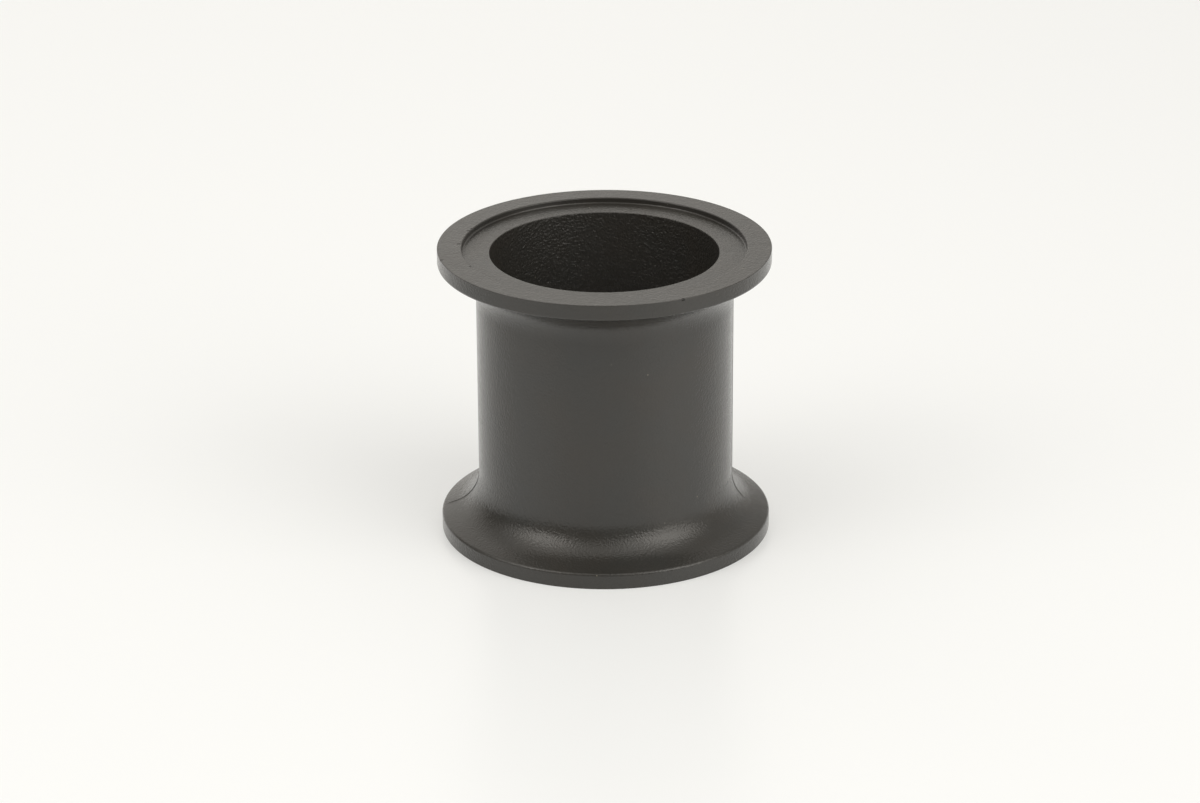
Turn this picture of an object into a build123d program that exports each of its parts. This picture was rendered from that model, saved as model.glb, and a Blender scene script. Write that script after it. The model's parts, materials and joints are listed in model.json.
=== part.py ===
from build123d import *
import os
from math import radians, tan

# Short pipe coupling with a clamp flange at each end, moulded in one piece.
# It stands on its lower flange. The origin is the centre of the lower sealing
# face, Z runs along the bore, and the mould closed on the XZ plane.

# Sizes along and across the tube, in millimetres
bore_diameter = 76.2
tube_wall = 4.7
overall_length = 99.7

# Sealing face: the gasket lies on a seat sunk below a flat land
seat_width = 9.25
seat_depth = 1.95
land_width = 8.2

# Flange edge and the tapered back that a clamp draws up on
rim_thickness = 5.2
back_taper = 20.0  # degrees, measured from the sealing face
neck_radius = 12.5

# Small flat edge breaks; the edges of the land are sharp
bore_edge_break = 0.3
seat_foot_break = 0.4
rim_back_break = 0.35

# Ridge left along each side where the mould halves met
ridge_width = 0.4
ridge_height = 0.2
ridge_to_rim = 1.5  # it stops this far inside the rim

bore_radius = bore_diameter / 2
tube_radius = bore_radius + tube_wall
seat_radius = bore_radius + seat_width
rim_radius = seat_radius + land_width
mid_height = overall_length / 2
taper_rise = (rim_radius - tube_radius) * tan(radians(back_taper))

# Corners of the lower half of the wall's section, as (radius, height)
bore_edge = (bore_radius, seat_depth)
seat_foot = (seat_radius, seat_depth)
rim_back = (rim_radius, rim_thickness)
neck = (tube_radius, rim_thickness + taper_rise)

edge_breaks = {
    bore_edge: bore_edge_break,
    seat_foot: seat_foot_break,
    rim_back: rim_back_break,
}

with BuildPart() as spool_body:
    # The wall's section is drawn up to mid height and mirrored there
    with BuildSketch(Plane.XZ) as wall_section:
        with BuildLine():
            Polyline(
                (bore_radius, mid_height),
                bore_edge,
                seat_foot,
                (seat_radius, 0),
                (rim_radius, 0),
                rim_back,
                neck,
                (tube_radius, mid_height),
                close=True,
            )
        make_face()
        for corner, length in edge_breaks.items():
            chamfer(wall_section.vertices().sort_by_distance(corner)[0], length)
        fillet(wall_section.vertices().sort_by_distance(neck)[0], neck_radius)
        mirror(about=Plane.XZ.offset(-mid_height))
    revolve(axis=Axis.Z)

    # The ridges stand proud of the tube, the necks and the tapered backs.
    # They reach half way into the wall, so that they are one with it.
    ridge_inner = bore_radius + tube_wall / 2
    ridge_outer = rim_radius - ridge_to_rim
    with BuildSketch(Plane.XZ) as ridge_section:
        add(wall_section.sketch_local)
        offset(amount=ridge_height)
        with Locations(((ridge_inner + ridge_outer) / 2, mid_height)):
            Rectangle(
                ridge_outer - ridge_inner,
                overall_length - 2 * rim_thickness,
                mode=Mode.INTERSECT,
            )
        mirror(about=Plane.YZ)
    extrude(amount=ridge_width / 2, both=True)

spool_body.part.label = "spool_body"

os.makedirs("parts", exist_ok=True)
export_step(spool_body.part, "parts/spool_body.step")
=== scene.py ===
# Short pipe coupling with a clamp flange at each end, moulded in one piece of
# black glass-filled polypropylene. It stands on its lower flange.
import json
from math import cos, hypot, pi, radians, sin, tan

import bmesh
import bpy
from mathutils import Matrix, Vector


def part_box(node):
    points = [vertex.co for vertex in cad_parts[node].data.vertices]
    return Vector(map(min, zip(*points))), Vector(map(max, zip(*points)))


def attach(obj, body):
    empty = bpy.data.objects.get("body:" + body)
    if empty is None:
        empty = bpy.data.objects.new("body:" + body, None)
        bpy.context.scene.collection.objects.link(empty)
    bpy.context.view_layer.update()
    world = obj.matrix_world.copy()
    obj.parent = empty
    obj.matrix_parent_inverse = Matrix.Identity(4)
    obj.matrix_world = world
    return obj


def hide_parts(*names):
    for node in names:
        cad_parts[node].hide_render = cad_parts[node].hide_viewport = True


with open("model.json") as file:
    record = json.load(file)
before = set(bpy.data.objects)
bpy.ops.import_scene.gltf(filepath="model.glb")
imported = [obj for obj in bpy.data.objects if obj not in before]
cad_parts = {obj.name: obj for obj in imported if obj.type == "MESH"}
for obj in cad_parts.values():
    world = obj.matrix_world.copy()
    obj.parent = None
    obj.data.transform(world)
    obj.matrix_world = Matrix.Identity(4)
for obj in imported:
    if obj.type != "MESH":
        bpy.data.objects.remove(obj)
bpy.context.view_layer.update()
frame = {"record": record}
mounts = {mount["name"]: mount for mount in frame["record"]["mounts"]}
mm = 0.001
print("frame loaded")


def linear(hexColour):
    # sRGB hex to the linear colour that the shader wants
    parts = [int(hexColour[i:i + 2], 16) / 255 for i in (1, 3, 5)]
    return [p / 12.92 if p <= 0.04045 else ((p + 0.055) / 1.055) ** 2.4 for p in parts] + [1]


def addNode(tree, kind, links=None, values=None, **settings):
    node = tree.nodes.new("ShaderNode" + kind)
    for name, setting in settings.items():
        setattr(node, name, setting)
    for socket, value in (values or {}).items():
        node.inputs[socket].default_value = value
    for socket, source in (links or {}).items():
        tree.links.new(source, node.inputs[socket])
    return node


# The coupling's section in millimetres. Rounds are what the mould leaves on
# each edge. The steps are how many straight bits each round is drawn with.
spool = {
    "tubeRadius": 42.8,
    "seatDepth": 1.95,
    "rimThickness": 5.2,
    "backTaper": 20,  # degrees from the sealing face
    "boreRound": 0.3,
    "seatFootRound": 0.5,
    "lipRound": 0.4,
    "rimFrontRound": 0.15,
    "rimBackRound": 1.0,
    "neckRound": 12.5,
    "smallSteps": 4,
    "neckSteps": 16,
    "hold": 0.1,  # the loops beside a round, which keep the flats flat
    "longestBit": 3.0,  # straight runs are cut into bits no longer than this
    "wideSteps": 120,  # round each side
    "ridgeSteps": 12,  # across each ridge
    "ridgeZone": 1.2,  # degrees
    "ridgeWidth": 0.5,
    "ridgeHeight": 0.15,
    "ridgeToRim": 1.5,
    "rightRidgeFade": (45, 49),  # radii between which the right one dies out
    "rightRidgeLeft": 0.2,  # the share of it that stays
    "near": 0.01,  # a point this close lies on the surface
    "weld": 0.001,  # points this close are one
}


def drawRun(bm, tip, end, values):
    # A straight run from the tip in short bits, with a loop close to each end
    start, way = tip.co.copy(), end - tip.co
    hold = min(values["hold"] * mm / way.length, 1 / 3)
    bits = int(way.length / (values["longestBit"] * mm)) + 1
    for share in [hold + (1 - 2 * hold) * i / bits for i in range(bits + 1)] + [1]:
        new = bmesh.ops.extrude_vert_indiv(bm, verts=[tip])
        bmesh.ops.translate(bm, verts=new["verts"], vec=start + way * share - tip.co)
        tip = new["verts"][0]
    return tip


def drawSection(bm, corners, values):
    # Runs from corner to corner in the XZ plane, each corner rounded as it says
    points = [Vector((r * mm, 0, z * mm)) for r, z, size, steps in corners]
    tip = bm.verts.new(points[0])
    for i in range(1, len(corners) - 1):
        size, steps = corners[i][2] * mm, corners[i][3]
        into = (points[i] - points[i - 1]).normalized()
        out = (points[i + 1] - points[i]).normalized()
        side = Vector((-into.z, 0, into.x))
        turn = into.angle(out) * (1 if side.dot(out) > 0 else -1)
        start = points[i] - into * size * tan(abs(turn) / 2)
        tip = drawRun(bm, tip, start, values)
        centre = start + side * (size if turn > 0 else -size)
        arc = bmesh.ops.spin(bm, geom=[tip], cent=centre, axis=(0, 1, 0), angle=-turn, steps=steps)
        tip = [v for v in arc["geom_last"] if isinstance(v, bmesh.types.BMVert)][0]
    drawRun(bm, tip, points[-1], values)


def makeSpool(values):
    rimRadius = mounts["upper_rim"]["dims"]["r_mm"]
    boreRadius = mounts["bore"]["dims"]["r_mm"]
    seatRadius = mounts["upper_gasket_seat"]["dims"]["r_mm"]
    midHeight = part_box("spool_body")[1].z / mm / 2
    tubeRadius = values["tubeRadius"]
    neckHeight = values["rimThickness"] + (rimRadius - tubeRadius) * tan(radians(values["backTaper"]))
    small = values["smallSteps"]
    weld = values["weld"] * mm

    bm = bmesh.new()
    drawSection(bm, [
        (boreRadius, midHeight, 0, 0),
        (boreRadius, values["seatDepth"], values["boreRound"], small),
        (seatRadius, values["seatDepth"], values["seatFootRound"], small),
        (seatRadius, 0, values["lipRound"], small),
        (rimRadius, 0, values["rimFrontRound"], small),
        (rimRadius, values["rimThickness"], values["rimBackRound"], small),
        (tubeRadius, neckHeight, values["neckRound"], values["neckSteps"]),
        (tubeRadius, midHeight, 0, 0),
    ], values)
    # The upper half mirrors the lower one, about mid height
    bmesh.ops.translate(bm, verts=bm.verts, vec=(0, 0, -midHeight * mm))
    bmesh.ops.mirror(bm, geom=bm.verts[:] + bm.edges[:], axis="Z", merge_dist=weld)
    bmesh.ops.translate(bm, verts=bm.verts, vec=(0, 0, midHeight * mm))

    # Close steps across each ridge, wide ones round the rest
    zone = radians(values["ridgeZone"])
    bmesh.ops.rotate(bm, verts=bm.verts, matrix=Matrix.Rotation(-zone / 2, 3, "Z"))
    ring = bm.verts[:] + bm.edges[:]
    for angle, steps in [(zone, values["ridgeSteps"]), (pi - zone, values["wideSteps"])] * 2:
        ring = bmesh.ops.spin(bm, geom=ring, axis=(0, 0, 1), angle=angle, steps=steps)["geom_last"]
    bmesh.ops.remove_doubles(bm, verts=bm.verts, dist=weld)
    bmesh.ops.recalc_face_normals(bm, faces=bm.faces)

    # The ridges stand proud of tube, necks and tapered backs, down to the rims
    fadeStart, fadeEnd = values["rightRidgeFade"]
    bm.normal_update()
    for v in bm.verts:
        radius = hypot(v.co.x, v.co.y) / mm
        fromMiddle = abs(v.co.z / mm - midHeight)
        across = abs(v.co.y / mm) / (values["ridgeWidth"] / 2)
        fade = min(1, rimRadius - values["ridgeToRim"] - radius)
        if v.co.x > 0:
            dying = (fadeEnd - radius) / (fadeEnd - fadeStart)
            fade = min(fade, max(values["rightRidgeLeft"], dying))
        outside = radius > tubeRadius - values["near"] and fromMiddle < midHeight - values["rimThickness"]
        if outside and across < 1 and fade > 0:
            v.co += v.normal * values["ridgeHeight"] * mm * fade * (1 - across ** 2)

    mesh = bpy.data.meshes.new("mouldedSpool")
    bm.to_mesh(mesh)
    bm.free()
    mesh.shade_smooth()
    body = bpy.data.objects.new("mouldedSpool", mesh)
    bpy.context.scene.collection.objects.link(body)
    print("mouldedSpool:", len(mesh.polygons), "faces")
    return body


# Black glass-filled polypropylene, injection moulded. The skin is a near-black
# satin, a little browner where the resin is rich. The fibres give it a fine
# grain, which catches the lamps as speckle. The bore is rougher and coarser.
polypropylene = {
    "warm": "#312d28",
    "cool": "#2c2d2c",
    "roughness": (0.18, 0.23),
    "boreRoughness": 0.32,
    "ior": 1.49,
    "noiseSpan": (0.3, 0.7),  # where most of a noise's values lie
    "margin": 0.2,  # mm that the bore's and the faces' finish reach past their edges
    "noises": {  # name: size in mm, detail
        "patches": (18, 3),
        "grain": (0.7, 2),
        "boreGrain": (0.9, 2),
        "waves": (6, 1),
    },
    "grainDepth": 0.15,
    "boreGrainDepth": 0.5,
    "waveDepth": 0.05,  # slow waves from uneven shrinking
    "streakSize": (14, 1.2),  # mm along and across
    "ringSize": 0.8,  # mm between the turned marks of the mould's faces
    "ringDepth": 0.03,
    "speckSize": 7,  # mm between lighter specks
    "speckWidth": 0.03,  # as a share of that
    "speck": "#6b675c",
    # The faces are sunk a little where the mould halves met, in mm
    "sinkPlace": 0.8,
    "sinkWidth": 3.0,
    "sinkDepth": 0.03,
    # the colour of the painted shade inside the pits, dent, nick and flash spots
    "paintedPitShade": "#0e0d0c",
    "pitDepth": 0.7,
}

# Pits, a tool's dent, a nick and two flash spots, each as its centre and radius in mm. Each is sunk a little
# by a bump and darkened with painted shade.
pits = {
    "landPit": ((-48.3, 0.2, 99.7), 0.9),
    "lipPit": ((-42.8, -20.8, 99.7), 0.85),
    "rimPit": ((-52.9, -15.1, 99.7), 0.8),
    "dentStart": ((-46.0, 13.2, 99.7), 0.7),
    "dentEnd": ((-45.0, 15.6, 99.7), 0.7),
    "edgeNick": ((26.9, -48.6, 99.4), 0.7),
    "rightFlash": ((45.2, 0, 15.6), 0.8),
    "leftFlash": ((-45.2, 0, 15.6), 0.7),
}


def makePolypropylene(values):
    material = bpy.data.materials.new("mouldedPolypropylene")
    material.use_nodes = True
    tree = material.node_tree
    tree.nodes.clear()
    place = addNode(tree, "TexCoord").outputs["Object"]
    axes = addNode(tree, "SeparateXYZ", {"Vector": place}).outputs
    flat = addNode(tree, "VectorMath", {0: place}, {1: (1, 1, 0)}, operation="MULTIPLY").outputs["Vector"]
    radius = addNode(tree, "VectorMath", {0: flat}, operation="LENGTH").outputs["Value"]
    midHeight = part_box("spool_body")[1].z / 2

    # Where the surface is bore, and where it is a flange's face
    boreEdge = (mounts["bore"]["dims"]["r_mm"] + values["margin"]) * mm
    inBore = addNode(tree, "Math", {0: radius}, {1: boreEdge}, operation="LESS_THAN").outputs[0]
    fromMiddle = addNode(tree, "Math", {0: axes["Z"]}, {1: midHeight}, operation="SUBTRACT").outputs[0]
    fromMiddle = addNode(tree, "Math", {0: fromMiddle}, operation="ABSOLUTE").outputs[0]
    faceStart = midHeight - (spool["seatDepth"] + values["margin"]) * mm
    onFace = addNode(tree, "Math", {0: fromMiddle}, {1: faceStart}, operation="GREATER_THAN").outputs[0]

    noises = {}
    for name, (size, detail) in values["noises"].items():
        noises[name] = addNode(tree, "TexNoise", {"Vector": place}, {
            "Scale": 1 / (size * mm), "Detail": detail,
        }).outputs[0]
    along, across = values["streakSize"]
    stretched = addNode(tree, "Mapping", {"Vector": place}, {"Scale": (1, 1, along / across)}).outputs[0]
    streaks = addNode(tree, "TexNoise", {"Vector": stretched}, {"Scale": 1 / (along * mm)}).outputs[0]
    rings = addNode(tree, "TexNoise", {"W": radius}, {"Scale": 1 / (values["ringSize"] * mm), "Detail": 1},
                    noise_dimensions="1D").outputs[0]

    # A colour Mix takes its two colours in sockets 6 and 7
    colour = addNode(tree, "Mix", {"Factor": noises["patches"]}, {
        6: linear(values["warm"]), 7: linear(values["cool"]),
    }, data_type="RGBA").outputs[2]
    spots = addNode(tree, "TexVoronoi", {"Vector": place}, {
        "Scale": 1 / (values["speckSize"] * mm),
    }).outputs[0]
    isSpeck = addNode(tree, "Math", {0: spots}, {1: values["speckWidth"]}, operation="LESS_THAN").outputs[0]
    colour = addNode(tree, "Mix", {"Factor": isSpeck, 6: colour}, {7: linear(values["speck"])},
                     data_type="RGBA").outputs[2]

    # How deep the nearest pit is here, as a share. It darkens the colour there with painted shade and sinks
    # the surface by a bump.
    pitDentAndShade = None
    for centre, size in pits.values():
        away = addNode(tree, "VectorMath", {0: place}, {1: Vector(centre) * mm}, operation="DISTANCE")
        share = addNode(tree, "MapRange", {"Value": away.outputs["Value"]}, {
            "From Min": 0, "From Max": size * mm, "To Min": 1, "To Max": 0,
        }, interpolation_type="SMOOTHSTEP").outputs[0]
        pitDentAndShade = addNode(tree, "Math", {0: pitDentAndShade, 1: share}, operation="MAXIMUM").outputs[0] if pitDentAndShade else share
    # painted shade: each pit darkened towards its centre
    colour = addNode(tree, "Mix", {"Factor": pitDentAndShade, 6: colour}, {7: linear(values["paintedPitShade"])},
                     data_type="RGBA").outputs[2]
    sunken = addNode(tree, "Math", {0: pitDentAndShade}, {1: -1}, operation="MULTIPLY").outputs[0]

    sinkPlace = values["sinkPlace"] * mm
    across = addNode(tree, "Math", {0: axes["Y"]}, {1: sinkPlace}, operation="SUBTRACT").outputs[0]
    across = addNode(tree, "Math", {0: across}, operation="ABSOLUTE").outputs[0]
    sink = addNode(tree, "MapRange", {"Value": across}, {
        "From Min": 0, "From Max": values["sinkWidth"] * mm, "To Min": 0, "To Max": 1,
    }, interpolation_type="SMOOTHSTEP").outputs[0]

    least, most = values["noiseSpan"]
    low, high = values["roughness"]
    roughness = addNode(tree, "MapRange", {"Value": streaks}, {
        "From Min": least, "From Max": most, "To Min": low, "To Max": high,
    }).outputs[0]
    roughness = addNode(tree, "Mix", {"Factor": inBore, "A": roughness}, {"B": values["boreRoughness"]},
                        data_type="FLOAT").outputs["Result"]

    normal = None
    for bumps, size, mask in (
        (noises["grain"], values["grainDepth"], None),
        (noises["boreGrain"], values["boreGrainDepth"], inBore),
        (noises["waves"], values["waveDepth"], None),
        (rings, values["ringDepth"], onFace),
        (sink, values["sinkDepth"], onFace),
        (sunken, values["pitDepth"], None),
    ):
        bump = addNode(tree, "Bump", {"Height": bumps}, {"Distance": size * mm})
        if mask:
            tree.links.new(mask, bump.inputs["Strength"])
        if normal:
            tree.links.new(normal, bump.inputs["Normal"])
        normal = bump.outputs["Normal"]

    shader = addNode(tree, "BsdfPrincipled", {
        "Base Color": colour, "Roughness": roughness, "Normal": normal,
    }, {"IOR": values["ior"]})
    addNode(tree, "OutputMaterial", {"Surface": shader.outputs["BSDF"]})
    return material


body = makeSpool(spool)
body.data.materials.append(makePolypropylene(polypropylene))
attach(body, "root")
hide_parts("spool_body")


# A pale floor that runs out of sight on all sides, with a slight gloss. The
# photograph shows it burnt out, so the coupling mirrors it brighter than it looks.
floorValues = {
    "radius": 12.0,
    "sides": 96,
    "colour": "#f1f4f7",
    "roughness": 0.3,
    "ior": 1.6,
    "plain": "#f6f5f1",  # softens the shadows
    "softening": 0.3,
    "mirrored": 1.5,
}


def makeFloor(values):
    bm = bmesh.new()
    bmesh.ops.create_circle(bm, cap_ends=True, radius=values["radius"], segments=values["sides"])
    mesh = bpy.data.meshes.new("floor")
    bm.to_mesh(mesh)
    bm.free()
    floor = bpy.data.objects.new("floor", mesh)
    bpy.context.scene.collection.objects.link(floor)
    material = bpy.data.materials.new("palePaper")
    material.use_nodes = True
    tree = material.node_tree
    tree.nodes.clear()
    seen = addNode(tree, "LightPath").outputs["Is Camera Ray"]
    level = addNode(tree, "Mix", {"Factor": seen}, {"A": values["mirrored"], "B": 1.0}, data_type="FLOAT")
    paper = addNode(tree, "BsdfPrincipled", None, {
        "Base Color": linear(values["colour"]), "Roughness": values["roughness"], "IOR": values["ior"],
    }).outputs[0]
    plain = addNode(tree, "Emission", {"Strength": level.outputs["Result"]}, {
        "Color": linear(values["plain"]),
    }).outputs[0]
    mixed = addNode(tree, "MixShader", {1: paper, 2: plain}, {"Fac": values["softening"]}).outputs[0]
    addNode(tree, "OutputMaterial", {"Surface": mixed})
    mesh.materials.append(material)


makeFloor(floorValues)

lampColour = "#fffbf4"

# Two soft lamps stand in front, left and right. Each one's place is turned from
# the front towards the right, and raised above the floor.
lampValues = {
    "leftLamp": {"turned": -58, "raised": 38, "away": 1.8, "size": 0.99, "power": 4.8},
    "rightLamp": {"turned": 60, "raised": 28, "away": 1.8, "size": 1.53, "power": 11},
}


def towards(turned, raised):
    flat = cos(radians(raised))
    return Vector((sin(radians(turned)) * flat, -cos(radians(turned)) * flat, sin(radians(raised))))


def makeLamp(name, values):
    light = bpy.data.lights.new(name, "AREA")
    light.shape = "DISK"
    light.size = values["size"]
    light.energy = values["power"]
    light.color = linear(lampColour)[:3]
    lamp = bpy.data.objects.new(name, light)
    way = towards(values["turned"], values["raised"])
    lamp.location = way * values["away"]
    lamp.rotation_mode = "QUATERNION"
    lamp.rotation_quaternion = way.to_track_quat("Z", "Y")
    bpy.context.scene.collection.objects.link(lamp)


for name, values in lampValues.items():
    makeLamp(name, values)

# The studio around: a dim room, the pale sweep behind, and round each lamp the
# ceiling and walls that it lights. Angles are in degrees.
worldValues = {
    "shown": "#f6f5f1",
    "room": 0.18,
    "patches": {
        "ceiling": {"turned": 180, "raised": 68, "full": 12, "gone": 45, "level": 0.7},
        "sweepLeft": {"turned": -162, "raised": 21, "full": 18, "gone": 50, "level": 0.98},
        "sweepRight": {"turned": 125, "raised": 2, "full": 41, "gone": 62, "level": 0.56},
        "roundLeftLamp": {"turned": -64, "raised": 48, "full": 3, "gone": 43, "level": 1.57},
        "roundRightLamp": {"turned": 48, "raised": 47, "full": 3, "gone": 42, "level": 1.68},
    },
}


def makeWorld(values):
    world = bpy.data.worlds.new("studio")
    bpy.context.scene.world = world
    world.use_nodes = True
    tree = world.node_tree
    tree.nodes.clear()
    way = addNode(tree, "TexCoord").outputs["Generated"]
    level = values["room"]
    for patch in values["patches"].values():
        near = addNode(tree, "VectorMath", {0: way}, {1: towards(patch["turned"], patch["raised"])},
                       operation="DOT_PRODUCT").outputs["Value"]
        share = addNode(tree, "MapRange", {"Value": near}, {
            "From Min": cos(radians(patch["gone"])), "From Max": cos(radians(patch["full"])),
        }, interpolation_type="SMOOTHSTEP").outputs["Result"]
        mixed = addNode(tree, "Mix", {"Factor": share}, {"A": values["room"], "B": patch["level"]},
                        data_type="FLOAT")
        if level != values["room"]:
            tree.links.new(level, mixed.inputs["A"])
        level = mixed.outputs["Result"]
    seen = addNode(tree, "LightPath").outputs["Is Camera Ray"]
    lit = addNode(tree, "Background", {"Strength": level}, {"Color": linear(lampColour)})
    shown = addNode(tree, "Background", None, {"Color": linear(values["shown"]), "Strength": 1})
    mixed = addNode(tree, "MixShader", {"Fac": seen, 1: lit.outputs[0], 2: shown.outputs[0]})
    addNode(tree, "OutputWorld", {"Surface": mixed.outputs[0]})


makeWorld(worldValues)

# The photograph's view: from 2 degrees to the right of the front, looking down
cameraValues = {
    "lens": 121.152,
    "sensor": 36,
    "place": (0.04386882, -1.25623869, 0.56336047),
    "aim": (-0.00173515, 0.0000197, 0.0437658),
    "roll": -0.315,  # degrees
}


def makeCamera(values):
    camera = bpy.data.objects.new("camera", bpy.data.cameras.new("camera"))
    camera.data.lens = values["lens"]
    camera.data.sensor_width = values["sensor"]
    camera.location = values["place"]
    ahead = Vector(values["aim"]) - Vector(values["place"])
    upright = ahead.to_track_quat("-Z", "Y").to_matrix()
    camera.rotation_mode = "QUATERNION"
    camera.rotation_quaternion = (upright @ Matrix.Rotation(radians(values["roll"]), 3, "Z")).to_quaternion()
    bpy.context.scene.collection.objects.link(camera)
    bpy.context.scene.camera = camera


makeCamera(cameraValues)
bpy.context.scene.view_settings.view_transform = "Standard"

print("scene ready")
